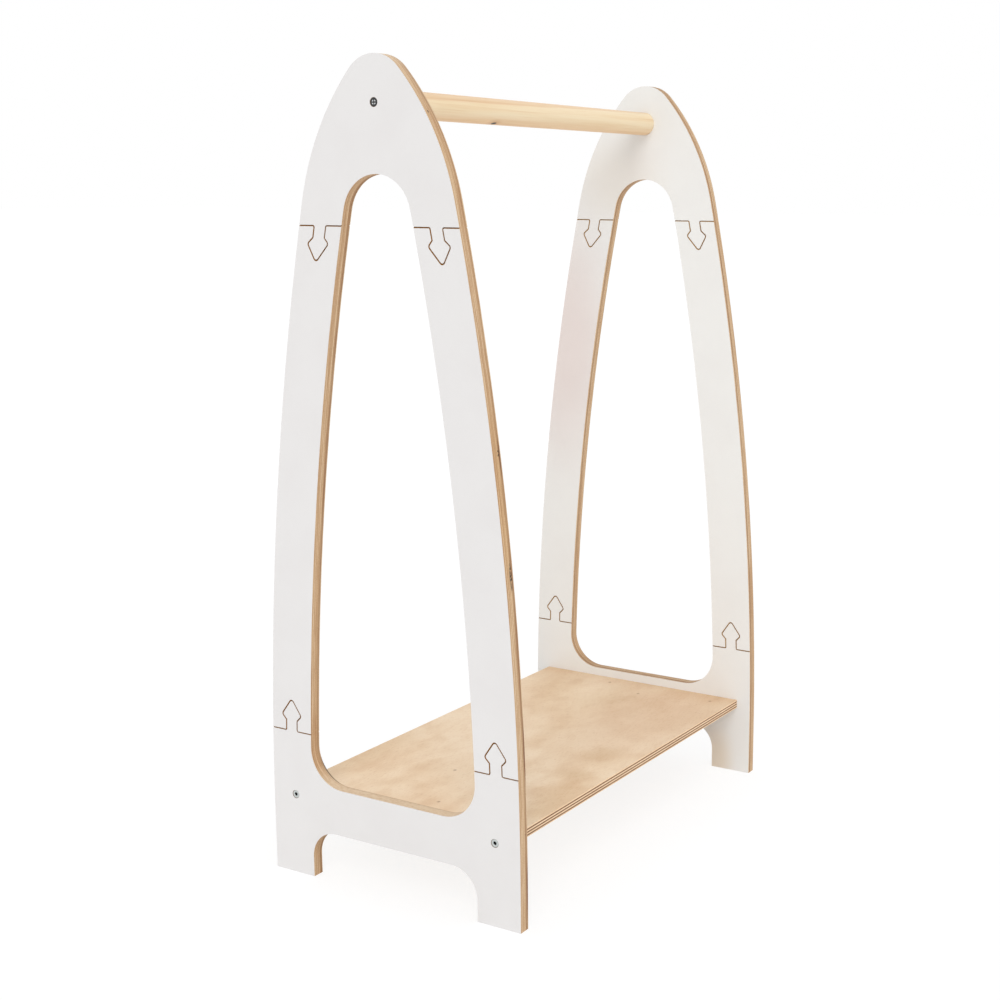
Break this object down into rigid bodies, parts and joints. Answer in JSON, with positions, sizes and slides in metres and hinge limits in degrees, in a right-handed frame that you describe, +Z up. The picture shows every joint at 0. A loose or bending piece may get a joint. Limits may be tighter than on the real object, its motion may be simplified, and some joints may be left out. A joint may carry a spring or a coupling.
{
  "type": "clothing rack",
  "caption": "Free-standing clothing rack for a child's room: bowed plywood end frames with open windows, a round hanging rail between the crowns and a low shelf between the bases.",
  "frame": {"origin": "on the floor, under the middle of the rack", "axes": "+X along the rail from the left frame to the right one, +Y from the front to the rear, +Z up"},
  "size_m": [0.6, 0.3562, 0.951],
  "materials": {
    "white_faced_plywood": "white film on both faces, bare sanded plywood edges",
    "birch_plywood": "bare sanded veneer with ply lines on the edges",
    "turned_softwood": "bare sanded round bar with long grain",
    "zinc_plated_steel": "bright zinc plate",
    "black_steel": "black phosphate"
  },
  "bodies": {
    "root": {"left_base": "white_faced_plywood", "left_front_leg": "white_faced_plywood", "left_rear_leg": "white_faced_plywood", "left_crown": "white_faced_plywood", "right_base": "white_faced_plywood", "right_front_leg": "white_faced_plywood", "right_rear_leg": "white_faced_plywood", "right_crown": "white_faced_plywood", "shelf": "birch_plywood", "hanging_rail": "turned_softwood", "shelf_screws": "zinc_plated_steel", "rail_screws": "black_steel"}
  },
  "joints": []
}
